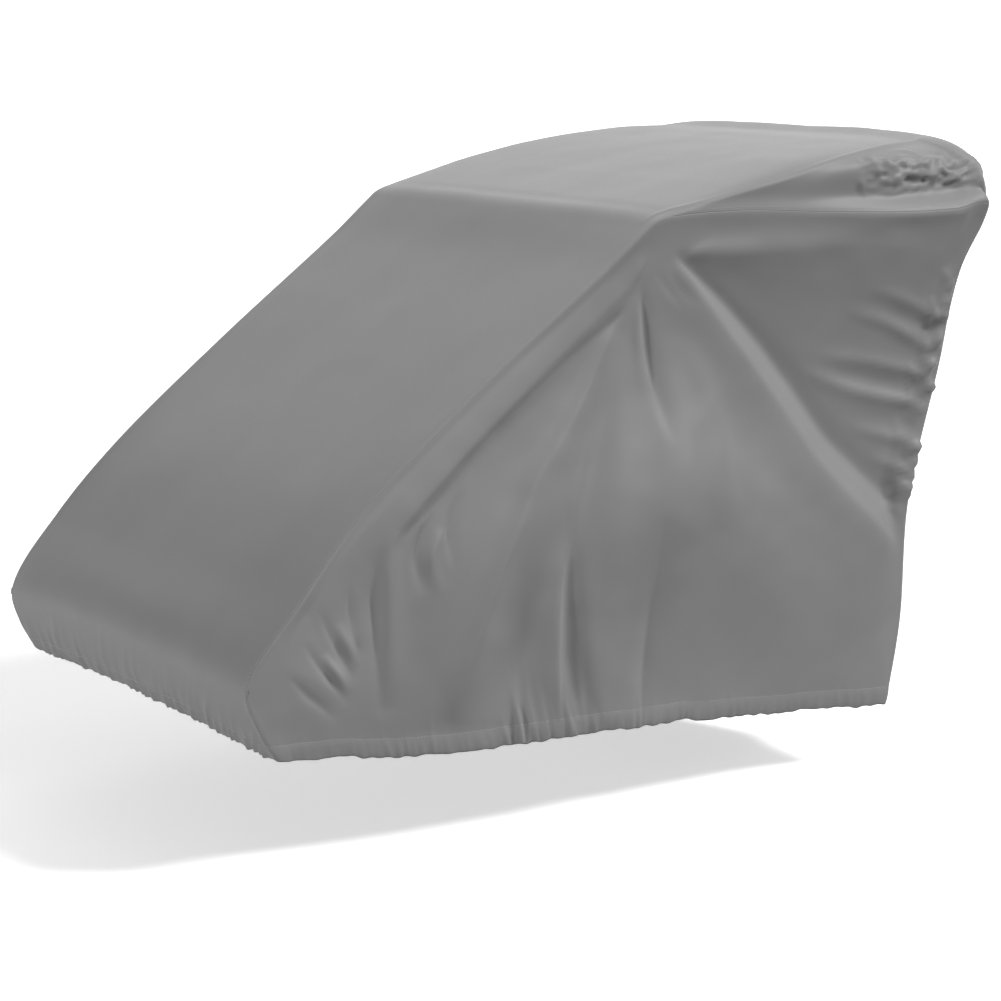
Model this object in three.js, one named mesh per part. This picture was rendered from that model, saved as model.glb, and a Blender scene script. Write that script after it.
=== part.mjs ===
// Bike trailer cover: a fitted cloth cover, in the shape in which it hangs when it is in use. One long
// panel runs from the front hem up the sloping front, over the roof and its raised rear crest, and
// down the back. Two side panels are sewn to its long edges. An elastic in the turned hem draws the
// open lower edge in.
//
// Millimetres, +X to the rear, +Y to the far side, +Z up. Heights in the tables are above the ground.
// The finished cover is lowered so that its origin lies under the roof.

import * as THREE from "three";

// Cloth and sewing
const CLOTH_THICKNESS = 2;
const HEM_THICKNESS = 5;
const HEM_HEIGHT = 26;
const HEM_STEP = 5; // height of the step from the cloth to the thicker hem
const SEAM_GAP = 0.3;
const SEAM_FADE = 55; // folds die away over this distance from a seam
const GATHER_PITCH = 64;
const GATHER_DEPTH = 4;
const GATHER_REACH = 60; // how far the gathers run up from the hem

// How finely each panel is divided
const SIDE_COLUMNS = 44; // from nose to crest
const SIDE_ROWS = 16; // from the upper edge to the hem line
const LONG_COLUMNS = 28; // across the long panel
const ROW_EASE = 1.25; // rows lie closer together near the upper edge
const EDGE_CROWDING = 0.75; // how far the long panel's columns crowd towards its edges

const GREY_CLOTH = { color: 0x828282, roughness: 0.72, metalness: 0, side: THREE.DoubleSide };

// Cross-sections of the cover from the front hem to the rear hem. x and z place the seam and half is
// its distance from the middle. bulgeX and bulgeZ carry the middle of the panel beyond the seams. A
// larger square makes the bulge a flatter table, and a larger steep makes its ends drop more sharply.
const SECTIONS = [
  { at: "front hem", x: -596, z: 150, half: 382, bulgeX: -8, bulgeZ: 12, square: 2, steep: 1 },
  { at: "lip", x: -622, z: 196, half: 372, bulgeX: -10, bulgeZ: 14, square: 2, steep: 1 },
  { at: "nose", x: -634, z: 248, half: 358, bulgeX: -6, bulgeZ: 18, square: 2.5, steep: 1 },
  { at: "shin", x: -555, z: 352, half: 358, bulgeX: -3, bulgeZ: 5, square: 3, steep: 1 },
  { at: "knee", x: -463, z: 448, half: 350, bulgeX: 0, bulgeZ: 0, square: 3, steep: 1 },
  { at: "slope", x: -281, z: 593, half: 349, bulgeX: 2, bulgeZ: -3, square: 2, steep: 1 },
  { at: "upper slope", x: -82, z: 738, half: 353, bulgeX: 1, bulgeZ: -1, square: 2, steep: 1 },
  { at: "brow front", x: -18, z: 788, half: 356, bulgeX: -1, bulgeZ: 3, square: 2, steep: 1 },
  { at: "brow", x: 3, z: 802, half: 357, bulgeX: 0, bulgeZ: 6, square: 3, steep: 1.5 },
  { at: "brow top", x: 34, z: 807, half: 358, bulgeX: 0, bulgeZ: 11, square: 8, steep: 4 },
  { at: "roof front", x: 138, z: 810, half: 364, bulgeX: 0, bulgeZ: 35, square: 14, steep: 7 },
  { at: "roof middle", x: 276, z: 803, half: 373, bulgeX: 0, bulgeZ: 70, square: 14, steep: 7 },
  { at: "roof rear", x: 417, z: 798, half: 387, bulgeX: 0, bulgeZ: 92, square: 10, steep: 6 },
  { at: "crest front", x: 510, z: 799, half: 395, bulgeX: 0, bulgeZ: 95, square: 7, steep: 4.5 },
  { at: "crest end", x: 574, z: 803, half: 397, bulgeX: 8, bulgeZ: 95, square: 4, steep: 3 },
  { at: "crest rear", x: 572, z: 776, half: 390, bulgeX: 30, bulgeZ: 85, square: 4, steep: 3 },
  { at: "under crest", x: 535, z: 707, half: 381, bulgeX: 46, bulgeZ: 30, square: 3, steep: 2 },
  { at: "upper back", x: 511, z: 577, half: 373, bulgeX: 24, bulgeZ: 0, square: 3, steep: 1 },
  { at: "middle back", x: 450, z: 377, half: 380, bulgeX: 16, bulgeZ: 0, square: 2.5, steep: 1 },
  { at: "lower back", x: 421, z: 205, half: 400, bulgeX: 12, bulgeZ: 0, square: 2, steep: 1 },
  { at: "rear hem", x: 384, z: 87, half: 415, bulgeX: 8, bulgeZ: 0, square: 2, steep: 1 },
];

// The side panel's lower edge, from the front corner to the rear one, standing out in the middle.
const SIDE_HEM = [
  { at: "front corner", x: -596, z: 150, half: 382 },
  { at: "front stretch", x: -509, z: 144, half: 392 },
  { at: "belly", x: -381, z: 132, half: 404 },
  { at: "gathered stretch", x: -233, z: 130, half: 418 },
  { at: "middle front", x: -139, z: 128, half: 424 },
  { at: "middle", x: 28, z: 120, half: 428 },
  { at: "middle rear", x: 212, z: 102, half: 424 },
  { at: "rear corner", x: 384, z: 87, half: 415 },
];

// Folds of the near side, each a line on the side from its upper to its lower end. bow bends the line
// to one side, width is how far the fold spreads and rise how far it stands out of the cloth, so a
// trough has a negative rise. The far side has only the folds that both sides share.
const SIDE_FOLDS = [
  { fold: "front roll", fromX: -45, fromZ: 728, toX: -440, toZ: 452, bow: 0,
    fromWidth: 26, toWidth: 34, fromRise: 8, toRise: 9, bothSides: true },
  { fold: "crease under the roll", fromX: -74, fromZ: 679, toX: -417, toZ: 437, bow: 0,
    fromWidth: 16, toWidth: 20, fromRise: -10, toRise: -8, bothSides: true },
  { fold: "long ridge", fromX: -120, fromZ: 640, toX: -368, toZ: 255, bow: -23,
    fromWidth: 22, toWidth: 36, fromRise: 9, toRise: 13, bothSides: true },
  { fold: "long valley", fromX: -150, fromZ: 590, toX: -238, toZ: 196, bow: 14,
    fromWidth: 30, toWidth: 46, fromRise: -8, toRise: -16, bothSides: true },
  { fold: "hem ridge", fromX: -130, fromZ: 560, toX: -198, toZ: 150, bow: 10,
    fromWidth: 20, toWidth: 26, fromRise: 6, toRise: 11, bothSides: false },
  { fold: "hem trough", fromX: -152, fromZ: 400, toX: -124, toZ: 120, bow: -8,
    fromWidth: 16, toWidth: 24, fromRise: -8, toRise: -20, bothSides: false },
  { fold: "belly ridge", fromX: -105, fromZ: 420, toX: -85, toZ: 130, bow: 0,
    fromWidth: 28, toWidth: 36, fromRise: 5, toRise: 10, bothSides: false },
  { fold: "corner pleat", fromX: -41, fromZ: 707, toX: 2, toZ: 505, bow: 0,
    fromWidth: 14, toWidth: 20, fromRise: -10, toRise: -5, bothSides: true },
  { fold: "corner fan", fromX: -20, fromZ: 600, toX: -45, toZ: 340, bow: 0,
    fromWidth: 40, toWidth: 52, fromRise: 7, toRise: 8, bothSides: false },
  { fold: "rear roll", fromX: 40, fromZ: 712, toX: 424, toZ: 321, bow: 0,
    fromWidth: 28, toWidth: 38, fromRise: 14, toRise: 26, bothSides: true },
  { fold: "hollow under the crest", fromX: 110, fromZ: 735, toX: 510, toZ: 575, bow: 0,
    fromWidth: 48, toWidth: 85, fromRise: -20, toRise: -50, bothSides: true },
  { fold: "hollow of the flank", fromX: 120, fromZ: 500, toX: 310, toZ: 280, bow: 0,
    fromWidth: 85, toWidth: 95, fromRise: -7, toRise: -8, bothSides: true },
  { fold: "upper nose pleat", fromX: -395, fromZ: 440, toX: -402, toZ: 360, bow: 0,
    fromWidth: 16, toWidth: 18, fromRise: -7, toRise: -3, bothSides: false },
  { fold: "middle nose pleat", fromX: -465, fromZ: 375, toX: -447, toZ: 275, bow: 0,
    fromWidth: 15, toWidth: 18, fromRise: -8, toRise: -4, bothSides: true },
  { fold: "lower nose pleat", fromX: -520, fromZ: 305, toX: -488, toZ: 230, bow: 0,
    fromWidth: 14, toWidth: 18, fromRise: -8, toRise: -4, bothSides: true },
];

// Folds of the long panel. along is measured up from the front hem over the roof to the rear hem, and
// across from the middle towards the far side.
const LONG_FOLDS = [
  { fold: "near pocket beside the roof", fromAlong: 1130, fromAcross: -356, toAlong: 1485, toAcross: -335,
    fromWidth: 22, toWidth: 42, fromRise: -8, toRise: -17 },
  { fold: "far pocket beside the roof", fromAlong: 1250, fromAcross: 365, toAlong: 1485, toAcross: 360,
    fromWidth: 16, toWidth: 26, fromRise: -3, toRise: -9 },
  { fold: "near fold of the back", fromAlong: 1640, fromAcross: -210, toAlong: 2290, toAcross: -255,
    fromWidth: 42, toWidth: 60, fromRise: 6, toRise: 16 },
  { fold: "near valley of the back", fromAlong: 1680, fromAcross: -95, toAlong: 2290, toAcross: -120,
    fromWidth: 40, toWidth: 58, fromRise: -5, toRise: -15 },
  { fold: "middle fold of the back", fromAlong: 1640, fromAcross: 25, toAlong: 2290, toAcross: 12,
    fromWidth: 40, toWidth: 55, fromRise: 5, toRise: 14 },
  { fold: "far valley of the back", fromAlong: 1690, fromAcross: 140, toAlong: 2290, toAcross: 150,
    fromWidth: 40, toWidth: 60, fromRise: -5, toRise: -14 },
  { fold: "far fold of the back", fromAlong: 1650, fromAcross: 245, toAlong: 2290, toAcross: 270,
    fromWidth: 40, toWidth: 56, fromRise: 6, toRise: 13 },
];

// The point under the roof by which the cover is held up
const ROOF_POINT = { x: 276, underside: 872 };

const HEM_LINES = 3; // stitched line, top of the thick hem, edge
const PANEL_ROWS = SIDE_ROWS + HEM_LINES - 1;
const LONG_ROWS = 2 * PANEL_ROWS + SIDE_COLUMNS;

const mix = THREE.MathUtils.lerp;
const rowOf = (name) => SECTIONS.findIndex((section) => section.at === name);

// Smooth curves through the section table: the seam, and the bulge of the panel between the seams
const seamCurve = new THREE.CatmullRomCurve3(
  SECTIONS.map((section) => new THREE.Vector3(section.x, -section.half, section.z)),
);
const bulgeCurve = new THREE.CatmullRomCurve3(
  SECTIONS.map((section) => new THREE.Vector3(section.bulgeX, 0, section.bulgeZ)),
  false,
  "catmullrom",
);
const shapeCurve = new THREE.CatmullRomCurve3(
  SECTIONS.map((section) => new THREE.Vector3(section.square, section.steep, 0)),
  false,
  "catmullrom",
);
const hemCurve = new THREE.CatmullRomCurve3(
  SIDE_HEM.map((point) => new THREE.Vector3(point.x, -point.half, point.z)),
);
seamCurve.arcLengthDivisions = 2000;
const SEAM_LENGTH = seamCurve.getLength();
const NOSE = lengthAtSection("nose");
const CREST_END = lengthAtSection("crest end");

// How far along the seam a named section lies
function lengthAtSection(name) {
  const lengths = seamCurve.getLengths();
  const share = rowOf(name) / (SECTIONS.length - 1);
  return lengths[Math.round(share * (lengths.length - 1))];
}

// The seam's point at a distance along it from the front hem
function seamPoint(along) {
  return seamCurve.getPointAt(THREE.MathUtils.clamp(along / SEAM_LENGTH, 0, 1));
}

// Share of the way from a panel's upper edge to its hem edge at which a row lies
function rowShare(row, length) {
  const clothShare = 1 - HEM_HEIGHT / length;
  if (row <= SIDE_ROWS) return clothShare * (row / SIDE_ROWS) ** ROW_EASE;
  return row === SIDE_ROWS + 1 ? clothShare + HEM_STEP / length : 1;
}

// Length of the side panel below a point of its upper edge
function sideLength(share) {
  return seamPoint(mix(NOSE, CREST_END, share)).distanceTo(hemCurve.getPointAt(share));
}

// Side panel without its folds: a patch blended from its four edges
function sidePoint(share, drop) {
  const top = seamPoint(mix(NOSE, CREST_END, share));
  const hem = hemCurve.getPointAt(share);
  const front = seamPoint(mix(NOSE, 0, drop));
  const rear = seamPoint(mix(CREST_END, SEAM_LENGTH, drop));
  const corners = new THREE.Vector3()
    .addScaledVector(seamPoint(NOSE), (1 - share) * (1 - drop))
    .addScaledVector(seamPoint(CREST_END), share * (1 - drop))
    .addScaledVector(seamPoint(0), (1 - share) * drop)
    .addScaledVector(seamPoint(SEAM_LENGTH), share * drop);
  return top.lerp(hem, drop).add(front.lerp(rear, share)).sub(corners);
}

// The ends of a fold as points of its panel
const sideEnds = (fold) => ({
  ...fold,
  from: new THREE.Vector2(fold.fromX, fold.fromZ),
  to: new THREE.Vector2(fold.toX, fold.toZ),
});
const longEnds = (fold) => ({
  ...fold,
  from: new THREE.Vector2(fold.fromAlong, fold.fromAcross),
  to: new THREE.Vector2(fold.toAlong, fold.toAcross),
});

// Height of one fold at a point of its panel: a rounded ridge or trough along the line of the fold
function foldHeight(point, fold) {
  const run = fold.to.clone().sub(fold.from);
  const length = run.length();
  const offset = point.clone().sub(fold.from);
  const reach = offset.dot(run) / length;
  const share = THREE.MathUtils.clamp(reach / length, 0, 1);
  const bend = (fold.bow ?? 0) * 4 * share * (1 - share);
  const across = run.cross(offset) / length - bend;
  const past = reach - share * length;
  const width = mix(fold.fromWidth, fold.toWidth, share);
  const rise = mix(fold.fromRise, fold.toRise, share);
  return rise * Math.exp(-(across * across + past * past) / (width * width));
}

// Height of all the folds of a panel at a point of it
function foldsHeight(point, folds) {
  return folds.reduce((sum, fold) => sum + foldHeight(point, fold), 0);
}

// Waves that the elastic gathers into the hem, at a distance along the hem and above it
function gather(along, above) {
  const wave = Math.sin((2 * Math.PI * along) / GATHER_PITCH + Math.sin(along / 150));
  return GATHER_DEPTH * wave * Math.exp(-((above / GATHER_REACH) ** 2));
}

// Nothing at a seam, rising to one at SEAM_FADE from it
function fade(distance) {
  return THREE.MathUtils.smoothstep(distance, 0, SEAM_FADE);
}

// Points of a side panel, column by column from the nose and row by row down to the hem. The near
// side has the lower y.
function sideGrid(folds, mirror) {
  return Array.from({ length: SIDE_COLUMNS + 1 }, (_, column) => {
    const share = column / SIDE_COLUMNS;
    const length = sideLength(share);
    return Array.from({ length: PANEL_ROWS + 1 }, (_, row) => {
      const drop = rowShare(row, length);
      const point = sidePoint(share, drop);
      const fromSeam = Math.min(
        drop * length,
        point.distanceTo(seamPoint(mix(NOSE, 0, drop))),
        point.distanceTo(seamPoint(mix(CREST_END, SEAM_LENGTH, drop))),
      );
      const place = new THREE.Vector2(point.x, point.z);
      const rise = foldsHeight(place, folds) + gather(point.x, (1 - drop) * length);
      point.y -= rise * fade(fromSeam);
      if (mirror) point.y = -point.y;
      return point;
    });
  });
}

// Distances along the seam at which the long panel has its rows, which meet the side panels' points
function longRowPlaces() {
  const lip = Array.from({ length: PANEL_ROWS }, (_, i) => PANEL_ROWS - i)
    .map((row) => mix(NOSE, 0, rowShare(row, sideLength(0))));
  const top = Array.from({ length: SIDE_COLUMNS }, (_, i) => mix(NOSE, CREST_END, i / SIDE_COLUMNS));
  const back = Array.from({ length: PANEL_ROWS + 1 }, (_, row) => row)
    .map((row) => mix(CREST_END, SEAM_LENGTH, rowShare(row, sideLength(1))));
  return [...lip, ...top, ...back];
}

// Points of the long panel, row by row from the front hem and column by column from the near seam
function longGrid(folds) {
  return longRowPlaces().map((along) => {
    const share = seamCurve.getUtoTmapping(along / SEAM_LENGTH);
    const seam = seamCurve.getPoint(share);
    const bulge = bulgeCurve.getPoint(share);
    const shape = shapeCurve.getPoint(share);
    const tangent = seamCurve.getTangent(share).setY(0).normalize();
    const half = -seam.y;
    const aboveHem = Math.min(along, SEAM_LENGTH - along);
    return Array.from({ length: LONG_COLUMNS + 1 }, (_, column) => {
      const even = (2 * column) / LONG_COLUMNS - 1;
      const across = mix(even, Math.sin((even * Math.PI) / 2), EDGE_CROWDING);
      const lift = (1 - Math.abs(across) ** shape.x) ** (1 / shape.y);
      const point = new THREE.Vector3(seam.x + lift * bulge.x, across * half, seam.z + lift * bulge.z);
      const rise = foldsHeight(new THREE.Vector2(along, point.y), folds) + gather(point.y, aboveHem);
      const out = new THREE.Vector3(-tangent.z, 0, tangent.x);
      return point.addScaledVector(out, rise * fade(half - Math.abs(point.y)));
    });
  });
}

// Outward normal at each point of a grid
function gridNormals(grid, turned) {
  const step = (a, b) => new THREE.Vector3().subVectors(b, a);
  return grid.map((line, i) =>
    line.map((_, j) => {
      const down = step(grid[Math.max(i - 1, 0)][j], grid[Math.min(i + 1, grid.length - 1)][j]);
      const over = step(line[Math.max(j - 1, 0)], line[Math.min(j + 1, line.length - 1)]);
      return (turned ? over.cross(down) : down.cross(over)).normalize();
    }),
  );
}

// A panel is a grid with its normals and, at each point, half its thickness
function makePanel(grid, turned, halfThickness) {
  return {
    turned,
    middle: grid,
    offset: gridNormals(grid, turned).map((line, i) =>
      line.map((normal, j) => normal.multiplyScalar(halfThickness(i, j))),
    ),
  };
}

const isHemRow = (row) => row > SIDE_ROWS;
const halfThicknessOfRow = (row) => (isHemRow(row) ? HEM_THICKNESS : CLOTH_THICKNESS) / 2;

// Row of the side panel that a row of the long panel meets
const dropOfLongRow = (row) => Math.max(PANEL_ROWS - row, row - PANEL_ROWS - SIDE_COLUMNS, 0);

// Joins a side panel to one edge of the long panel: along the seam both end in one mitred plane, and
// each stands half the seam gap back from it
function sewSeam(longPanel, longColumn, sidePanel) {
  const inwards = longColumn === 0 ? 1 : -1;
  const moves = [];
  for (let row = 0; row <= LONG_ROWS; row++) {
    const column = THREE.MathUtils.clamp(row - PANEL_ROWS, 0, SIDE_COLUMNS);
    const drop = dropOfLongRow(row);
    const innerColumn = THREE.MathUtils.clamp(column, 1, SIDE_COLUMNS - 1);
    const seam = sidePanel.middle[column][drop];
    const intoLong = longPanel.middle[row][longColumn + inwards].clone().sub(seam).normalize();
    const intoSide = sidePanel.middle[innerColumn][Math.max(drop, 1)].clone().sub(seam).normalize();
    const longOffset = longPanel.offset[row][longColumn];
    const thickness = longOffset.length();
    const mitre = longOffset.clone().add(sidePanel.offset[column][drop]).normalize();
    const apart = intoLong.sub(intoSide);
    apart.addScaledVector(mitre, -apart.dot(mitre)).setLength(SEAM_GAP / 2);
    mitre.multiplyScalar((thickness * thickness) / mitre.dot(longOffset));
    moves.push({ row, column, drop, apart, mitre });
  }
  for (const { row, column, drop, apart, mitre } of moves) {
    longPanel.middle[row][longColumn].add(apart);
    sidePanel.middle[column][drop].sub(apart);
    longPanel.offset[row][longColumn] = mitre;
    sidePanel.offset[column][drop] = mitre.clone();
  }
}

// Closed solid of a panel: an outer and an inner skin, and a rim that joins them
function panelGeometry({ middle, offset, turned }) {
  const lines = middle.length;
  const width = middle[0].length;
  const skin = (sign) =>
    middle.flatMap((line, i) => line.map((point, j) => point.clone().addScaledVector(offset[i][j], sign)));
  const points = [...skin(1), ...skin(-1)];
  const inner = lines * width;
  const index = (i, j) => i * width + j;
  const faces = [];
  const quad = (a, b, c, d) => faces.push(...(turned ? [a, c, b, a, d, c] : [a, b, c, a, c, d]));
  for (let i = 0; i + 1 < lines; i++) {
    for (let j = 0; j + 1 < width; j++) {
      const corners = [index(i, j), index(i + 1, j), index(i + 1, j + 1), index(i, j + 1)];
      quad(...corners);
      const [a, b, c, d] = corners.map((corner) => corner + inner);
      quad(a, d, c, b);
    }
    quad(index(i + 1, 0), index(i, 0), index(i, 0) + inner, index(i + 1, 0) + inner);
    const last = index(i, width - 1);
    quad(last + width, last + width + inner, last + inner, last);
  }
  for (let j = 0; j + 1 < width; j++) {
    quad(index(0, j), index(0, j + 1), index(0, j + 1) + inner, index(0, j) + inner);
    const last = index(lines - 1, j);
    quad(last + 1, last, last + inner, last + 1 + inner);
  }
  const geometry = new THREE.BufferGeometry().setFromPoints(points);
  geometry.setIndex(faces);
  geometry.computeVertexNormals();
  return geometry;
}

function panelMesh(name, panel) {
  const mesh = new THREE.Mesh(panelGeometry(panel), new THREE.MeshStandardMaterial(GREY_CLOTH));
  mesh.name = name;
  return mesh;
}

const nearFolds = SIDE_FOLDS.map(sideEnds);
const farFolds = nearFolds.filter((fold) => fold.bothSides);
const longFolds = LONG_FOLDS.map(longEnds);

const longPanel = makePanel(longGrid(longFolds), false, (row) => halfThicknessOfRow(dropOfLongRow(row)));
const nearSide = makePanel(sideGrid(nearFolds, false), true, (_, row) => halfThicknessOfRow(row));
const farSide = makePanel(sideGrid(farFolds, true), false, (_, row) => halfThicknessOfRow(row));
sewSeam(longPanel, 0, nearSide);
sewSeam(longPanel, LONG_COLUMNS, farSide);

const cover = new THREE.Group();
cover.name = "trailer_cover";
cover.position.set(-ROOF_POINT.x, 0, -ROOF_POINT.underside);
cover.add(panelMesh("front_roof_back_panel", longPanel));
cover.add(panelMesh("near_side_panel", nearSide));
cover.add(panelMesh("far_side_panel", farSide));

export default cover;
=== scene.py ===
# %% [markdown]
# # Bike trailer cover
# The real object is a fitted cover of grey coated polyester. One long panel makes the front, the roof
# and the back, two side panels are sewn to its long edges, and an elastic in the turned hem draws the
# open lower edge in. It is held up from inside and hangs in folds from its seams.
#
# The part's plain solids are loaded first, as a fixed frame. Each panel is then made again as a thin
# sheet with its creases, its sewn edges and its gathered hem, and gets the finish of the real cloth.

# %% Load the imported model
import math
from collections import namedtuple

import bpy
import numpy as np
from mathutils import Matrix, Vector


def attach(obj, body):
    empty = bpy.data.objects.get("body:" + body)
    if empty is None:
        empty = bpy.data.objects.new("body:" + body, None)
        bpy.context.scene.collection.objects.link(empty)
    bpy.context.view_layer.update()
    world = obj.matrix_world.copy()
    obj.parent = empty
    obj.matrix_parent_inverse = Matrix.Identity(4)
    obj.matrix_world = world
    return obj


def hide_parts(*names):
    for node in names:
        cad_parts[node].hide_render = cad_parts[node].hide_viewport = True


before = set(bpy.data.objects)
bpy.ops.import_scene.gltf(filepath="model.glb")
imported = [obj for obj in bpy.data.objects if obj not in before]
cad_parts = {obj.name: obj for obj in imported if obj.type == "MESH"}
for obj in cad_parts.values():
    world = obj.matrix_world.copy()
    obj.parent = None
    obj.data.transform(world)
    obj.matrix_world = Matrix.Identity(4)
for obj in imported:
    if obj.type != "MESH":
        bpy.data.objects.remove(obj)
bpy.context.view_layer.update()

# %% [markdown]
# ## The cut of the cover
# A maker describes a fitted cover by its cross-sections. Each row below is one section from the front
# hem, over the roof, to the rear hem: where the seam lies, how far it is from the middle, and how the
# panel bulges between its two seams. The solids follow the same rows. Repeating them here, rather than
# bending a copy of the coarse solid, gives a smooth sheet at any fineness.

# %% Sections and side hem, in millimetres above the ground
Section = namedtuple("Section", "at x z half bulge_x bulge_z square steep")
SECTIONS = [
    Section("front hem", -596, 150, 382, -8, 12, 2, 1),
    Section("lip", -622, 196, 372, -10, 14, 2, 1),
    Section("nose", -634, 248, 358, -6, 18, 2.5, 1),
    Section("shin", -555, 352, 358, -3, 5, 3, 1),
    Section("knee", -463, 448, 350, 0, 0, 3, 1),
    Section("slope", -281, 593, 349, 2, -3, 2, 1),
    Section("upper slope", -82, 738, 353, 1, -1, 2, 1),
    Section("brow front", -18, 788, 356, -1, 3, 2, 1),
    Section("brow", 3, 802, 357, 0, 6, 3, 1.5),
    Section("brow top", 34, 807, 358, 0, 11, 8, 4),
    Section("roof front", 138, 810, 364, 0, 35, 14, 7),
    Section("roof middle", 276, 803, 373, 0, 70, 14, 7),
    Section("roof rear", 417, 798, 387, 0, 92, 10, 6),
    Section("crest front", 510, 799, 395, 0, 95, 7, 4.5),
    Section("crest end", 574, 803, 397, 8, 95, 4, 3),
    Section("crest rear", 572, 776, 390, 30, 85, 4, 3),
    Section("under crest", 535, 707, 381, 46, 30, 3, 2),
    Section("upper back", 511, 577, 373, 24, 0, 3, 1),
    Section("middle back", 450, 377, 380, 16, 0, 2.5, 1),
    Section("lower back", 421, 205, 400, 12, 0, 2, 1),
    Section("rear hem", 384, 87, 415, 8, 0, 2, 1),
]
HemPoint = namedtuple("HemPoint", "at x z half")
SIDE_HEM = [
    HemPoint("front corner", -596, 150, 382),
    HemPoint("front stretch", -509, 144, 392),
    HemPoint("belly", -381, 132, 404),
    HemPoint("gathered stretch", -233, 130, 418),
    HemPoint("middle front", -139, 128, 424),
    HemPoint("middle", 28, 120, 428),
    HemPoint("middle rear", 212, 102, 424),
    HemPoint("rear corner", 384, 87, 415),
]
ROOF_POINT = np.array([276.0, 0.0, 872.0])  # the frame's origin, under the roof
MM = 0.001
print(len(SECTIONS), "sections and", len(SIDE_HEM), "points of the side hem")

# %% Smooth lines through the rows
SECTION_STEPS = 60


def smooth_line(points, steps, root_spacing=True):
    """A smooth line through the points, with that many steps from each to the next."""
    p = np.asarray(points, float)
    p = np.vstack([2 * p[0] - p[1], p, 2 * p[-1] - p[-2]])
    spacing = np.sqrt(np.linalg.norm(np.diff(p, axis=0), axis=1)) if root_spacing else np.ones(len(p) - 1)
    a, b, c = (spacing[i:len(spacing) - 2 + i, None] for i in range(3))
    p0, p1, p2, p3 = (p[i:len(p) - 3 + i] for i in range(4))
    leave = ((p1 - p0) / a - (p2 - p0) / (a + b) + (p2 - p1) / b) * b
    arrive = ((p2 - p1) / b - (p3 - p1) / (b + c) + (p3 - p2) / c) * b
    t = np.linspace(0, 1, steps, endpoint=False)[None, :, None]
    weights = (2 * t**3 - 3 * t**2 + 1, t**3 - 2 * t**2 + t, 3 * t**2 - 2 * t**3, t**3 - t**2)
    line = sum(w * v[:, None, :] for w, v in zip(weights, (p1, leave, p2, arrive)))
    return np.vstack([line.reshape(-1, p.shape[1]), p[-2]])


def lengths_of(line):
    """Distance along a line at each of its points."""
    return np.concatenate([[0], np.cumsum(np.linalg.norm(np.diff(line, axis=0), axis=1))])


def at(place, places, line):
    """The line's columns at a place along it."""
    return np.stack([np.interp(place, places, column) for column in line.T], axis=-1)


SEAM = smooth_line([(s.x, -s.half, s.z) for s in SECTIONS], SECTION_STEPS)
SHAPE = smooth_line([(s.bulge_x, s.bulge_z, s.square, s.steep) for s in SECTIONS], SECTION_STEPS, False)
HEM = smooth_line([(h.x, -h.half, h.z) for h in SIDE_HEM], SECTION_STEPS)
SEAM_PLACES = lengths_of(SEAM)
HEM_PLACES = lengths_of(HEM)
SECTION_NAMES = [s.at for s in SECTIONS]
NOSE = SEAM_PLACES[SECTION_NAMES.index("nose") * SECTION_STEPS]
CREST_END = SEAM_PLACES[SECTION_NAMES.index("crest end") * SECTION_STEPS]
SEAM_LENGTH = SEAM_PLACES[-1]
print(f"seam {SEAM_LENGTH:.0f} mm, side hem {HEM_PLACES[-1]:.0f} mm")

# %% [markdown]
# ## The smooth panels
# A side panel has four edges: the seam above, the hem below, and the seam again at the nose and at the
# back. A surface blended from its four edges is what a taut cloth between them comes close to, and it
# has a simple formula. The long panel is swept: each row is one section, flat across or bulged as the
# table says. Both are functions of two running shares, so that the same formulas give the points, the
# outward directions and, later, the stitch lines.

# %% Points and outward directions of the two kinds of panel
ACROSS_STEPS = 1201
SHARE_NUDGE = 0.001  # small steps by which directions are measured
ALONG_NUDGE = 1.0


def unit(vectors):
    return vectors / np.linalg.norm(vectors, axis=-1, keepdims=True)


def side_surface(share, drop):
    """Near side: share runs from the nose to the crest end, drop from the seam to the hem."""
    top = at(NOSE + (CREST_END - NOSE) * share, SEAM_PLACES, SEAM)
    hem = at(HEM_PLACES[-1] * share, HEM_PLACES, HEM)
    front = at(NOSE * (1 - drop), SEAM_PLACES, SEAM)
    rear = at(CREST_END + (SEAM_LENGTH - CREST_END) * drop, SEAM_PLACES, SEAM)
    nose, crest_end = at(NOSE, SEAM_PLACES, SEAM), at(CREST_END, SEAM_PLACES, SEAM)
    s, d = share[..., None], drop[..., None]
    corners = (1 - d) * ((1 - s) * nose + s * crest_end) + d * ((1 - s) * SEAM[0] + s * SEAM[-1])
    return (1 - d) * top + d * hem + (1 - s) * front + s * rear - corners


def side_directions(share, drop):
    over = side_surface(np.minimum(share + SHARE_NUDGE, 1), drop)
    over -= side_surface(np.maximum(share - SHARE_NUDGE, 0), drop)
    down = side_surface(share, np.minimum(drop + SHARE_NUDGE, 1))
    down -= side_surface(share, np.maximum(drop - SHARE_NUDGE, 0))
    return unit(np.cross(down, over))


def long_surface(along, shares):
    """Long panel: a row at each distance along the seam, its points spread evenly over the cloth."""
    across = np.sin(np.linspace(-math.pi / 2, math.pi / 2, ACROSS_STEPS))
    rows, widths = [], []
    for seam, shape in zip(at(along, SEAM_PLACES, SEAM), at(along, SEAM_PLACES, SHAPE)):
        bulge_x, bulge_z, square, steep = shape
        lift = np.maximum(1 - np.abs(across) ** square, 0) ** (1 / steep)
        row = np.stack([seam[0] + lift * bulge_x, -seam[1] * across, seam[2] + lift * bulge_z], axis=-1)
        places = lengths_of(row)
        rows.append(at(shares * places[-1], places, row))
        widths.append(places[-1])
    return np.array(rows), np.array(widths)


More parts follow.
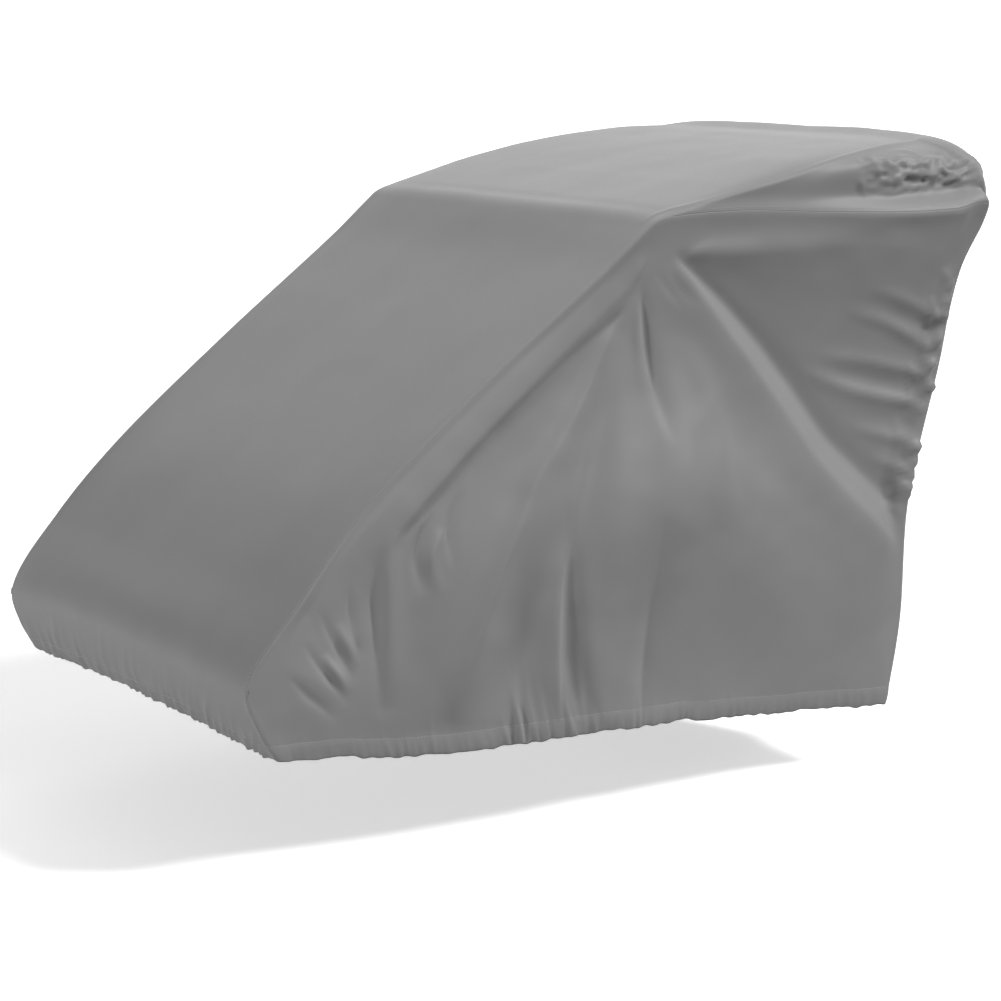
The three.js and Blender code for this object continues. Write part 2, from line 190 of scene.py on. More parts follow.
def long_directions(along, shares):
    over = long_surface(np.minimum(along + ALONG_NUDGE, SEAM_LENGTH), shares)[0]
    over -= long_surface(np.maximum(along - ALONG_NUDGE, 0), shares)[0]
    across = long_surface(along, np.minimum(shares + SHARE_NUDGE, 1))[0]
    across -= long_surface(along, np.maximum(shares - SHARE_NUDGE, 0))[0]
    return unit(np.cross(over, across))


roof_width = long_surface(np.array([(NOSE + CREST_END) / 2]), np.array([0.0, 1.0]))[1][0]
print(f"the long panel is {roof_width:.0f} mm wide half-way")

# %% [markdown]
# ## The sewn edge
# Along a plain seam the cloth is pulled into a narrow gutter, with a soft welt on both sides where the
# seam allowance lies underneath. Two sheets that are moved each along its own outward direction would
# gape at a corner, so near the seam both lean to the same direction, half-way between the two panels.
# Along the roof the cloth below the seam stands out as a rolled edge, which a small table gives.

# %% Direction and relief along the seam
LEAN_REACH = 14.0  # over about this distance from a seam both sheets lean to its direction
GUTTER_DEPTH, GUTTER_WIDTH = 0.3, 2.0
WELT_RISE, WELT_PLACE, WELT_WIDTH = 0.5, 5.0, 3.0
ROLL = np.array([  # place along the seam, rise
    (925, 0.0), (985, 2.0), (1100, 3.0), (1200, 4.0), (1300, 6.0), (1400, 8.0), (1490, 7.0), (1535, 0.0),
])
ROLL_CREST = 9.0  # the roll's crest lies this far below the seam
ROLL_RISE, ROLL_FALL = 13.0, 140.0  # it is steep above its crest, and the side hangs down from it
ROLL_END = 70.0  # it dies away over this distance before the crest's end
ROLL_FLAT = 3.0  # a roll of this height has no gutter left
FOLD_FADE = 25.0  # folds die away over this distance from a seam
LEAN_STEPS = 600
SMOOTH_STEPS = 15
SMOOTHING = np.hanning(SMOOTH_STEPS) / np.hanning(SMOOTH_STEPS).sum()

seam_steps = np.linspace(0, SEAM_LENGTH, LEAN_STEPS)
seam_shares = np.clip((seam_steps - NOSE) / (CREST_END - NOSE), 0, 1)
drop_in_front = np.maximum(1 - seam_steps / NOSE, 0)
drop_behind = np.maximum((seam_steps - CREST_END) / (SEAM_LENGTH - CREST_END), 0)
halfway = side_directions(seam_shares, drop_in_front + drop_behind)
halfway += long_directions(seam_steps, np.array([0.0]))[:, 0]
beyond_ends = (SMOOTH_STEPS // 2, SMOOTH_STEPS // 2)
halfway = np.pad(unit(halfway), (beyond_ends, (0, 0)), mode="edge")
SEAM_OUT = unit(np.stack([np.convolve(column, SMOOTHING, "valid") for column in halfway.T], axis=-1))


def fade(distance, reach=FOLD_FADE):
    """From 0 at a seam to 1 at the reach, smoothly."""
    t = np.clip(distance / reach, 0, 1)
    return t * t * (3 - 2 * t)


def lean_to_seam(directions, distance, seam_out):
    """Outward directions of a sheet, turned to the seam's own direction near the seam."""
    weight = np.exp(-((distance / LEAN_REACH) ** 2))[..., None]
    return unit(directions * (1 - weight) + seam_out * weight)


def seam_relief(distance, place):
    """Gutter and welts, which the rolled edge pulls flat."""
    gutter = -GUTTER_DEPTH * np.exp(-((distance / GUTTER_WIDTH) ** 2))
    welt = WELT_RISE * np.exp(-(((distance - WELT_PLACE) / WELT_WIDTH) ** 2))
    return (gutter + welt) * np.clip(1 - np.interp(place, ROLL[:, 0], ROLL[:, 1]) / ROLL_FLAT, 0, 1)


def roll_height(below, place):
    """The rolled edge, by distance below the seam (negative on the long panel)."""
    off = below - ROLL_CREST
    width = np.where(off < 0, ROLL_RISE, ROLL_FALL)
    rise = np.interp(place, ROLL[:, 0], ROLL[:, 1]) * fade(CREST_END - place, ROLL_END)
    return rise * np.exp(-((off / width) ** 2))


LEAN_SHOWN = 150  # every so many steps
print("seam leans out by", np.round(SEAM_OUT[::LEAN_SHOWN], 2).tolist())

# %% [markdown]
# ## The turned hem
# The lower edge is folded inwards and stitched down as a casing for the elastic. The sheet follows that
# fold: its last rows run down the outside, round the edge and up again inside. The table is the
# casing's section, as height above the edge and distance outwards.

# %% Section of the hem casing
HEM_SECTION = np.array([
    (26.0, 0.0), (24.5, 0.3), (22.0, 0.6), (18.0, 0.8), (13.0, 0.7), (8.0, 0.4), (4.0, 0.0), (1.5, -0.5),
    (0.2, -1.1), (0.6, -1.8), (2.5, -2.2), (7.0, -2.6), (14.0, -2.7), (20.0, -2.6), (24.0, -2.5),
])
HEM_HEIGHT = HEM_SECTION[0, 0]
print("hem casing", HEM_HEIGHT, "mm high,", np.ptp(HEM_SECTION[:, 1]), "mm thick")

# %% [markdown]
# ## Folds placed one by one
# Folds could come from a cloth simulation, but this cover hangs in a few large folds that are always in
# the same places, because the seams pull on the corners. So each main crease is a row here: its line on
# the panel, with a rise (negative for a trough) and a width at each station. skew widens the fold on
# the left of its line and narrows it on the right, and a lower sharp makes a crisper crest.

# %% Folds on both sides
Fold = namedtuple("Fold", "name skew sharp stations")
SHARED_FOLDS = [  # stations are x, z, rise, width
    Fold("bulge of the side", -0.15, 2, [
        (-530, 300, 0, 80), (-460, 338, 8, 100), (-390, 368, 14, 110), (-250, 400, 19, 130),
        (-100, 425, 25, 140), (40, 430, 29, 140), (160, 400, 27, 130), (260, 340, 20, 120),
        (340, 270, 10, 110), (400, 210, 0, 100),
    ]),
    Fold("front roll", -0.35, 2, [
        (-28, 735, 2, 12), (-62, 704, 4, 18), (-125, 660, 7, 22), (-205, 600, 9, 22), (-290, 535, 9, 22),
        (-365, 473, 8, 22), (-420, 425, 5, 20), (-455, 388, 0, 18),
    ]),
    Fold("hollow behind the nose", -0.15, 2, [
        (-545, 250, 0, 50), (-520, 290, -6, 60), (-475, 340, -9, 66), (-424, 392, -6, 64),
        (-380, 434, 0, 55),
    ]),
    Fold("foot of the long ridge", -0.3, 2, [
        (-236, 450, 0, 22), (-268, 395, 3, 28), (-300, 330, 5, 34), (-326, 265, 6, 38), (-345, 205, 4, 40),
        (-352, 160, 0, 40),
    ]),
    Fold("crease under the roll", 0, 1.3, [
        (-52, 684, -1, 3), (-70, 672, -3, 3.5), (-117, 643, -3.5, 4), (-181, 601, -4, 4.4),
        (-252, 548, -4, 5), (-315, 500, -4, 6), (-354, 466, -4, 7), (-387, 436, -3, 8), (-412, 412, 0, 9),
    ]),
    Fold("long ridge", 0.4, 1.6, [
        (-66, 664, 0, 8), (-86, 640, 4, 11), (-118, 590, 7, 16), (-150, 547, 9, 19), (-182, 510, 10, 21),
        (-214, 474, 10, 22), (-243, 423, 10, 23), (-270, 375, 10, 25), (-293, 324, 10, 27),
        (-313, 276, 9, 28), (-340, 215, 5, 28), (-352, 170, 0, 28),
    ]),
    Fold("long valley", 0, 2, [
        (-84, 610, 0, 16), (-104, 543, -4, 24), (-128, 489, -7, 30), (-160, 416, -9, 34),
        (-198, 354, -9, 36), (-236, 293, -8, 38), (-264, 218, -6, 40), (-274, 165, -2, 40),
    ]),
    Fold("corner pleat", 0.35, 1.6, [
        (-22, 716, 0, 4), (-22, 695, -3, 6), (-19, 650, -5, 9), (-14, 600, -6, 11), (-6, 550, -4, 13),
        (4, 500, 0, 14),
    ]),
    Fold("corner fan", 0, 2, [
        (14, 650, 0, 28), (24, 560, 5, 38), (10, 460, 10, 46), (-6, 400, 11, 50), (-24, 340, 7, 50),
        (-42, 280, 2, 48), (-50, 235, 0, 48),
    ]),
    Fold("hollow of the flank", 0, 2, [
        (90, 560, 0, 60), (150, 490, -6, 75), (215, 400, -8, 85), (290, 290, -7, 85), (340, 200, -3, 80),
        (360, 140, 0, 80),
    ]),
    Fold("third nose pucker", 0.2, 1.7, [
        (-440, 410, 0, 6), (-452, 350, -4, 8), (-452, 290, -5, 9), (-450, 228, -3, 10), (-448, 185, 0, 11),
    ]),
    Fold("sixth nose pucker", 0.2, 1.6, [
        (-556, 300, 0, 4), (-536, 268, -3, 6), (-516, 240, -3, 7), (-492, 210, 0, 8),
    ]),
]
print(len(SHARED_FOLDS), "folds on both sides")

# %% Folds between the brow corner and the hem, on the near side only
MIDDLE_FOLDS = [
    Fold("hem ridge", -0.5, 1.8, [
        (-97, 602, 0, 20), (-117, 530, 3, 26), (-148, 468, 6, 28), (-168, 404, 8, 26), (-186, 339, 9, 22),
        (-194, 262, 9, 20), (-194, 196, 7, 18), (-190, 150, 2, 16),
    ]),
    Fold("hem trough", 0, 3, [
        (-164, 440, 0, 8), (-168, 400, -2, 11), (-169, 363, -3, 14), (-169, 311, -4, 16),
        (-167, 258, -4.5, 17), (-160, 204, -4.5, 17), (-149, 165, -3.5, 16), (-143, 140, -2, 15),
    ]),
    Fold("belly ridge", 0.35, 2, [
        (-136, 480, 0, 26), (-137, 400, 3, 32), (-136, 330, 5, 38), (-131, 260, 6, 42), (-124, 200, 6, 43),
        (-116, 150, 5, 42), (-112, 125, 3, 40),
    ]),
    Fold("edge of the corner pleat", 0, 1.6, [
        (-30, 704, 0, 4), (-33, 660, 3, 6), (-33, 610, 2, 8), (-30, 570, 0, 8),
    ]),
    Fold("first corner crease", 0, 1.6, [(0, 733, 0, 4), (22, 706, -2, 5), (48, 680, 0, 5)]),
    Fold("second corner crease", 0, 1.6, [(16, 737, 0, 4), (38, 708, -2, 5), (66, 684, 0, 5)]),
    Fold("fan beside the pleat", 0, 2, [
        (-55, 650, 0, 18), (-68, 560, 4, 28), (-86, 460, 7, 34), (-98, 390, 7, 34), (-106, 330, 3, 32),
        (-112, 280, 0, 30),
    ]),
    Fold("fan beside the rear roll", 0, 2, [
        (44, 640, 0, 14), (70, 580, 3, 20), (84, 500, 5, 26), (82, 430, 4, 28), (72, 370, 0, 28),
    ]),
    Fold("brow of the hollow", -0.35, 2, [
        (46, 742, 0, 8), (62, 754, 3, 11), (84, 760, 4, 16), (110, 759, 4, 20), (150, 757, 4, 24),
        (196, 757, 3, 27), (244, 758, 3, 28), (300, 762, 2, 28), (360, 766, 0, 28),
    ]),
    Fold("crease of the flank", 0.65, 1.3, [
        (-24, 410, 0, 36), (-29, 368, -4, 46), (-36, 295, -8, 56), (-44, 229, -9, 58), (-50, 176, -8, 58),
        (-52, 130, -3, 56),
    ]),
]
print(len(MIDDLE_FOLDS), "folds between the brow corner and the hem")

# %% Puckers behind the nose
NOSE_FOLDS = [
    Fold("first nose pucker", 0.3, 1.7, [
        (-318, 470, 0, 5), (-338, 438, -3, 7), (-346, 404, -3, 8), (-340, 366, 0, 8),
    ]),
    Fold("ridge after the first", 0, 2, [
        (-352, 424, 0, 7), (-370, 396, 5, 9), (-372, 368, 4, 10), (-362, 335, 0, 10),
    ]),
    Fold("second nose pucker", 0.3, 1.7, [
        (-362, 444, 0, 5), (-384, 416, -4, 7), (-393, 385, -4, 8), (-386, 340, 0, 9),
    ]),
    Fold("nose ridge", 0.2, 2, [
        (-418, 428, 0, 10), (-430, 382, 6, 14), (-434, 316, 7, 15), (-440, 245, 5, 17), (-440, 200, 0, 18),
    ]),
    Fold("fourth nose pucker", 0.2, 1.6, [
        (-484, 366, 0, 4), (-485, 330, -3, 6), (-480, 296, -2, 7), (-470, 262, 0, 8),
    ]),
    Fold("fifth nose pucker", 0.2, 1.6, [
        (-530, 336, 0, 4), (-514, 302, -3, 6), (-500, 272, -3, 7), (-480, 238, 0, 8),
    ]),
    Fold("ridge after the fifth", 0, 2, [(-505, 318, 0, 5), (-494, 290, 4, 7), (-480, 258, 0, 8)]),
    Fold("ridge after the sixth", 0, 2, [(-528, 282, 0, 5), (-512, 256, 5, 7), (-494, 226, 0, 8)]),
    Fold("seventh nose pucker", 0.2, 1.6, [
        (-578, 258, 0, 4), (-555, 232, -3, 6), (-532, 212, -2, 7), (-508, 192, 0, 8),
    ]),
]
print(len(NOSE_FOLDS), "puckers and ridges behind the nose")

# %% Pulls towards the rear seam
PULL_FOLDS = [
    Fold("first pull ridge", 0, 1.6, [
        (369, 691, 0, 5), (415, 677, 2, 6), (453, 662, 3, 7), (500, 643, 4, 7), (526, 634, 1, 6),
    ]),
    Fold("first pull trough", 0, 1.8, [
        (352, 675, 0, 9), (426, 649, -2, 9), (496, 618, -2, 8), (518, 610, -1, 7),
    ]),
    Fold("second pull ridge", 0, 1.6, [
        (326, 662, 0, 7), (409, 636, 3, 8), (477, 602, 4, 7), (512, 589, 1, 6),
    ]),
    Fold("third pull ridge", 0, 1.6, [
        (274, 601, 0, 8), (374, 585, 3, 9), (460, 564, 4, 8), (498, 553, 1, 6),
    ]),
    Fold("third pull trough", 0, 1.8, [
        (290, 585, 0, 10), (338, 568, -2, 10), (441, 542, -2, 9), (486, 530, -1, 8),
    ]),
    Fold("fourth pull ridge", 0, 1.6, [
        (248, 585, 0, 9), (356, 543, 4, 10), (451, 520, 5, 9), (488, 510, 1, 7),
    ]),
    Fold("fifth pull trough", 0, 1.8, [
        (330, 512, 0, 10), (390, 502, -1, 10), (450, 488, -2, 9), (474, 480, -1, 8),
    ]),
    Fold("fifth pull ridge", 0, 1.6, [
        (350, 490, 0, 6), (410, 474, 3, 7), (462, 456, 4, 7), (476, 450, 1, 6),
    ]),
    Fold("sixth pull ridge", 0, 1.6, [(380, 446, 0, 6), (430, 428, 3, 7), (466, 408, 3, 6)]),
]
NEAR_FOLDS = SHARED_FOLDS + MIDDLE_FOLDS + NOSE_FOLDS + PULL_FOLDS
print(len(PULL_FOLDS), "pulls, which makes", len(NEAR_FOLDS), "folds on the near side")

# %% Folds of the long panel
LONG_FOLDS = [  # stations are along, across, rise, width
    Fold("near roof edge", 0, 1.5, [
        (950, -330, 0, 4), (978, -337, 2, 4), (1030, -356, 3, 4.5), (1112, -365, 3, 5), (1200, -366, 4, 5),
        (1302, -352, 4, 5.5), (1403, -326, 4, 6), (1470, -302, 3, 7), (1520, -285, 0, 9),
    ]),
    Fold("near pocket", 0.55, 2, [
        (1030, -366, 0, 8), (1060, -370, -1, 10), (1130, -387, -2, 14), (1200, -404, -4, 20),
        (1266, -416, -8, 28), (1320, -426, -12, 38), (1369, -432, -17, 46), (1440, -436, -21, 52),
        (1505, -430, -20, 52), (1535, -422, -12, 48), (1570, -408, 0, 42),
    ]),
    Fold("far pocket", -0.5, 2, [
        (1130, 387, 0, 14), (1200, 404, -4, 18), (1320, 425, -8, 28), (1440, 430, -11, 36),
        (1505, 425, -10, 36), (1550, 412, 0, 32),
    ]),
    Fold("near fold of the back", 0, 2, [
        (1610, -205, 0, 40), (1740, -214, 7, 46), (1980, -232, 11, 52), (2286, -255, 15, 58),
    ]),
    Fold("near valley of the back", 0, 2, [
        (1630, -93, 0, 40), (1760, -98, -6, 44), (2000, -108, -10, 50), (2286, -120, -14, 56),
    ]),
    Fold("middle fold of the back", 0, 2, [
        (1600, 26, 0, 40), (1740, 23, 6, 44), (2000, 17, 9, 48), (2286, 12, 13, 54),
    ]),
    Fold("far valley of the back", 0, 2, [
        (1640, 139, 0, 40), (1770, 142, -6, 44), (2010, 146, -10, 52), (2286, 150, -13, 58),
    ]),
    Fold("far fold of the back", 0, 2, [
        (1610, 243, 0, 40), (1750, 249, 6, 44), (2000, 259, 10, 50), (2286, 270, 12, 55),
    ]),
]
print(len(LONG_FOLDS), "folds on the long panel")

# %% Height of folds at the points of a panel
FOLD_STEPS = 12
FOLD_REACH = 3.0  # a fold is worked out over this many of its widths


def beside(points, stations):
    """For each point: distance left of the line, distance past its ends, and the line's other columns."""
    line = smooth_line(stations, FOLD_STEPS, False)
    step = np.gradient(line[:, :2], axis=0)
    offset = points[:, None] - line[None, :, :2]
    nearest = np.argmin((offset**2).sum(axis=-1), axis=1)
    offset = offset[np.arange(len(nearest)), nearest]
    length = np.linalg.norm(step, axis=1)[nearest]
    way = step[nearest] / length[:, None]
    ahead = nearest + (offset * way).sum(axis=-1) / length
    place = np.clip(ahead, 0, len(line) - 1)
    left = way[:, 0] * offset[:, 1] - way[:, 1] * offset[:, 0]
    return left, np.abs(ahead - place) * length, at(place, np.arange(len(line)), line[:, 2:]).T


def fold_height(u, v, fold):
    """Height of one fold, worked out only where it can matter."""
    stations = np.array(fold.stations, float)
    reach = FOLD_REACH * (1 + abs(fold.skew)) * stations[:, 3].max()
    low, high = stations[:, :2].min(axis=0) - reach, stations[:, :2].max(axis=0) + reach
    inside = (u > low[0]) & (u < high[0]) & (v > low[1]) & (v < high[1])
    height = np.zeros_like(u)
    left, past, (rise, width) = beside(np.stack([u[inside], v[inside]], axis=-1), stations)
    width = width * np.where(left > 0, 1 + fold.skew, 1 - fold.skew)
    height[inside] = rise * np.exp(-((np.hypot(left, past) / width) ** fold.sharp))
    return height


def folds_height(u, v, folds):
    return sum(fold_height(u, v, fold) for fold in folds)


ROLL_SPOT = np.array([-205.0]), np.array([600.0])  # half-way along the front roll
print(f"half-way the front roll stands {folds_height(*ROLL_SPOT, NEAR_FOLDS)[0]:.1f} mm out")

# %% [markdown]
# ## The hollow under the crest
# Behind the brow corner the cloth is stretched over a slanting rear roll and falls into a hollow behind
# it. The roll's back is an even slope that catches the light, and from the bottom of the slope the
# cloth rises slowly to the roof seam. That is no simple ridge or trough, so it has its own profile
# beside a line: crest, slope, and a long way back.

# %% Hollow behind the rear roll
HOLLOW = [  # x, z, crest, slope width, depth, way back
    (24, 752, 0, 6, 0, 10), (49, 724, 3, 14, 7, 34), (103, 656, 6, 35, 14, 120),
    (160, 586, 7, 47, 18, 220), (213, 518, 7, 53, 20, 300), (265, 448, 8, 56, 21, 330),
    (333, 382, 8, 61, 20, 330), (398, 324, 6, 64, 17, 330), (440, 285, 2, 62, 12, 330),
]
EASE = 0.2  # share of the slope that is rounded at its crest, and as much at its foot
ROLL_FRONT = 45.0  # the roll falls away to its front over this distance
HOLLOW_END = 40.0  # and the whole form past the ends of its line over this one


def even_slope(t):
    """From 0 to 1 as a straight slope with rounded ends."""
    t = np.clip(t, 0, 1)
    start, end = np.minimum(t, EASE), np.maximum(t - 1 + EASE, 0)
    middle = np.clip(t - EASE, 0, 1 - 2 * EASE)
    return ((start**2 - end**2) / (2 * EASE) + middle + end) / (1 - EASE)


def hollow_height(u, v):
    """Rear roll and hollow: low in front, the crest, the slope down and the long way back up."""
    points = np.stack([u.ravel(), v.ravel()], axis=-1)
    left, past, (crest, slope, depth, back) = beside(points, HOLLOW)
    beyond = np.clip(1 - (left - slope) / back, 0, 1)
    behind = np.where(left < slope, crest - (crest + depth) * even_slope(left / slope), -depth * beyond)
    height = np.where(left < 0, crest * np.exp(-((left / ROLL_FRONT) ** 2)), behind)
    return (height * np.exp(-((past / HOLLOW_END) ** 2))).reshape(u.shape)


print("hollow up to", max(row[4] for row in HOLLOW), "mm deep")

# %% [markdown]
# ## Small creases and unevenness
# Near the back edge and at the ends of the crest the cloth is bunched into many short creases. They are
# scattered by a seeded random generator along a line, so that every run gives the same cover. A few
# long, low waves keep the rest of the cloth from looking like sheet metal.
#
# A row gives how many creases there are, the line they lie along, how far off it they may lie, and the
# ranges of their angle (middle and spread), length, rise and width.

# %% Scattered creases and long waves
Scatter = namedtuple("Scatter", "count start end inwards angle length rise width signs")
Wave = namedtuple("Wave", "rise shortest longest")
WAVE_COUNT = 12
SIDE_WAVES = [Wave(0.8, 130, 420), Wave(0.22, 40, 100)]
LONG_WAVES = [Wave(0.7, 160, 520), Wave(0.18, 50, 120)]
CREASE_BEND, CREASE_SKEW, CREASE_SHARP = 0.6, 0.3, 1.7


def scattered(rng, patch):
    """Short bent creases along a line, some ridges and some troughs."""
    folds = []
    start, end = np.array(patch.start, float), np.array(patch.end, float)
    way = unit(end - start)
    side = np.array([way[1], -way[0]])
    for number in range(patch.count):
        centre = start + (end - start) * rng.uniform() + side * rng.uniform(*patch.inwards)
        angle = math.radians(rng.normal(*patch.angle))
        run = np.array([math.cos(angle), math.sin(angle)]) * rng.uniform(*patch.length) / 2
        bend = np.array([-run[1], run[0]]) * rng.uniform(-CREASE_BEND, CREASE_BEND)
        rise = rng.uniform(*patch.rise) * rng.choice(patch.signs)
        width = rng.uniform(*patch.width)
        ends = [(*(centre - run), 0, width), (*(centre + run), 0, width)]
        stations = [ends[0], (*(centre + bend), rise, width), ends[1]]
        skew = rng.uniform(-CREASE_SKEW, CREASE_SKEW)
        folds.append(Fold(f"short crease {number}", skew, CREASE_SHARP, stations))
    return folds


def long_waves(rng, u, v, wave):
    """Low unevenness, as a sum of waves in all directions."""
    height = np.zeros_like(u)
    angles = rng.uniform(0, math.pi, WAVE_COUNT)
    phases = rng.uniform(0, 2 * math.pi, WAVE_COUNT)
    for angle, phase in zip(angles, phases):
        turns = 2 * math.pi / rng.uniform(wave.shortest, wave.longest)
        height += np.sin(turns * (u * math.cos(angle) + v * math.sin(angle)) + phase)
    return height * wave.rise / math.sqrt(WAVE_COUNT)


RIDGES, BOTH = [1], [-1, 1]
BACK_EDGE = Scatter(30, (532, 700), (445, 350), (6, 44), (-25, 30), (16, 46), (1.0, 2.6), (4.0, 6.0), RIDGES)
BACK_CURLS = Scatter(44, (536, 705), (452, 345), (2, 24), (40, 40), (16, 38), (2.2, 4.8), (4.0, 6.0), RIDGES)
FAR_EDGE = BACK_EDGE._replace(count=20)
CREST_NEAR = Scatter(
    84, (1310, -388), (1545, -396), (-40, 34), (12, 34), (20, 76), (1.3, 3.8), (3.3, 5.8), BOTH)
CREST_FAR = Scatter(30, (1300, 402), (1530, 412), (-30, 30), (-15, 50), (20, 60), (1.5, 4), (6, 9), BOTH)
print("creases at the back", BACK_EDGE.count + BACK_CURLS.count, "near and", FAR_EDGE.count, "far")
print("creases at the crest", CREST_NEAR.count, "near and", CREST_FAR.count, "far")

# %% [markdown]
# ## Gathers at the hem
# The elastic shortens the hem, so the cloth above it is drawn into small pleats. They differ from one
# stretch of hem to the next: hardly any at the front corners, deep ones where the side hem runs back
# to the middle, and close slanted ones under the nose. Each stretch is a row, and the pleats in it are
# spread with seeded jitter. The elastic also tucks the lower sides in as a whole, draws the front
# corners towards the middle and leaves the lower edge a little uneven.

# %% Pleats that the elastic draws in
Gather = namedtuple("Gather", "stretch start end pitch rise width reach slant")
SIDE_GATHERS = [
    Gather("front corner", -590, -440, 15, 0.8, 4, 20, 0.1),
    Gather("belly", -440, -270, 11, 1.6, 3.6, 24, 0.2),
    Gather("gathered stretch", -270, -132, 10, 2.6, 4, 46, 0.15),
    Gather("deep gathers", -262, -140, 19, 3.4, 6, 66, 0.05),
    Gather("middle", -132, 120, 13, 1.2, 4, 22, 0),
    Gather("rear", 120, 378, 15, 1.1, 4.4, 22, 0),
]
FRONT_GATHERS = [Gather("lip", -372, 372, 12.5, 3.6, 4.2, 40, 0.6)]
BACK_GATHERS = [Gather("back", -405, 405, 24, 1.8, 7, 48, 0)]
PLACE_JITTER, SLANT_JITTER = 0.35, 0.08
RISE_SHARES, WIDTH_SHARES, REACH_SHARES = (0.3, 1.5), (0.7, 1.3), (0.5, 1.5)  # of the row's own values


def gather_height(rng, place, above, gathers):
    """Pleats by place along a hem and distance above it."""
    height = np.zeros_like(place)
    for g in gathers:
        count = round((g.end - g.start) / g.pitch)
        for number in range(count):
            middle = g.start + (number + 0.5 + rng.uniform(-PLACE_JITTER, PLACE_JITTER)) * g.pitch
            rise = g.rise * rng.uniform(*RISE_SHARES)
            width = g.width * rng.uniform(*WIDTH_SHARES)
            reach = g.reach * rng.uniform(*REACH_SHARES)
            off = place + (g.slant + rng.normal(0, SLANT_JITTER)) * above - middle
            height += rise * np.exp(-((off / width) ** 2) - (above / reach) ** 2)
    return height


print("gathers in", len(SIDE_GATHERS), "stretches of side hem")

# %% Tuck, front corners and lower edge
TUCK = smooth_line([  # place along the side, draw inwards
    (-600, 0), (-530, 14), (-430, 26), (-250, 22), (0, 25), (180, 28), (280, 22), (340, 10), (384, 0),
], FOLD_STEPS, False)
TUCK_HEIGHT = 320.0  # the tuck dies away over this height above the hem
CORNER_SHARE = 0.055  # the front corners come in by this share of the width
CORNER_TOP, CORNER_HEIGHT, CORNER_CURVE = 300.0, 150.0, 1.3  # more and more from this height downwards
CORNER_REAR, CORNER_LENGTH = -380.0, 220.0  # and from this place forwards
RAGGED = Wave(1.6, 18, 80)  # the lower edge wanders up and down
RAGGED_HEIGHT = 30.0


def drawn_in(points):
    """Points of a sheet with the front corners of the hem drawn towards the middle, seams and all."""
    low = np.clip((CORNER_TOP - points[..., 2]) / CORNER_HEIGHT, 0, 1) ** CORNER_CURVE
    ahead = np.clip((CORNER_REAR - points[..., 0]) / CORNER_LENGTH, 0, 1)
    same = np.ones_like(low)
    return points * np.stack([same, 1 - CORNER_SHARE * low * ahead, same], axis=-1)


def tuck_height(place, above):
    """How far the hem's elastic draws the lower side inwards."""
    return -np.interp(place, TUCK[:, 0], TUCK[:, 1]) * np.maximum(1 - above / TUCK_HEIGHT, 0) ** 2


print(f"the sides are tucked in by up to {TUCK[:, 1].max():.0f} mm")

# %% [markdown]
# ## Cutting the sheets
# Each sheet is a grid of points. Its rows and columns lie closer together beside the seams, where the
# gutter and the welt need them, and follow the hem's section at the lower edge. Everything that was
# made above is added up as one relief and laid on along the outward directions.

# %% Grid and sheet of a side panel
EDGE_STEPS = np.array([0, 1.2, 2.6, 4.5, 7.0, 10.0])
SIDE_SPAN, SIDE_STEP = 1200.0, 3.8
UPPER_ROWS, LOWER_ROWS, LOWER_HEIGHT = 94, 34, 110.0  # closer rows just above the hem
LENGTH_STEPS = 41  # points by which the length of a column is measured
REAR_FADE = 6.0  # at the back the folds run nearly up to the seam
HOLLOW_FADE = 50.0  # but the hollow dies away over this distance from it


def between(start, end, step):
    """Even places from start to end, about a step apart."""
    return np.linspace(start, end, round((end - start) / step) + 1)


def side_grid():
    """Shares, drops, distances from the top and the hem's offsets, column by column."""
    first, last = EDGE_STEPS[-1], SIDE_SPAN - EDGE_STEPS[-1]
    inner = between(first, last, SIDE_STEP)
    places = np.concatenate([EDGE_STEPS[:-1], inner, SIDE_SPAN - EDGE_STEPS[-2::-1]])
    share = places / SIDE_SPAN
    columns = side_surface(*np.meshgrid(share, np.linspace(0, 1, LENGTH_STEPS), indexing="ij"))
    length = np.linalg.norm(np.diff(columns, axis=1), axis=-1).sum(axis=1)[:, None]
    lower = length - LOWER_HEIGHT
    body = np.concatenate([
        first + (lower - first) * np.linspace(0, 1, UPPER_ROWS)[None, 1:],
        lower + (LOWER_HEIGHT - HEM_HEIGHT) * np.linspace(0, 1, LOWER_ROWS)[None, 1:-1],
    ], axis=1)
    edge = np.broadcast_to(EDGE_STEPS, (len(share), len(EDGE_STEPS)))
    top = np.concatenate([edge, body, length - HEM_SECTION[None, :, 0]], axis=1)
    hem_out = np.concatenate([np.zeros(top.shape[1] - len(HEM_SECTION)), HEM_SECTION[:, 1]])
    return np.broadcast_to(share[:, None], top.shape), top / length, top, length - top, hem_out[None, :]


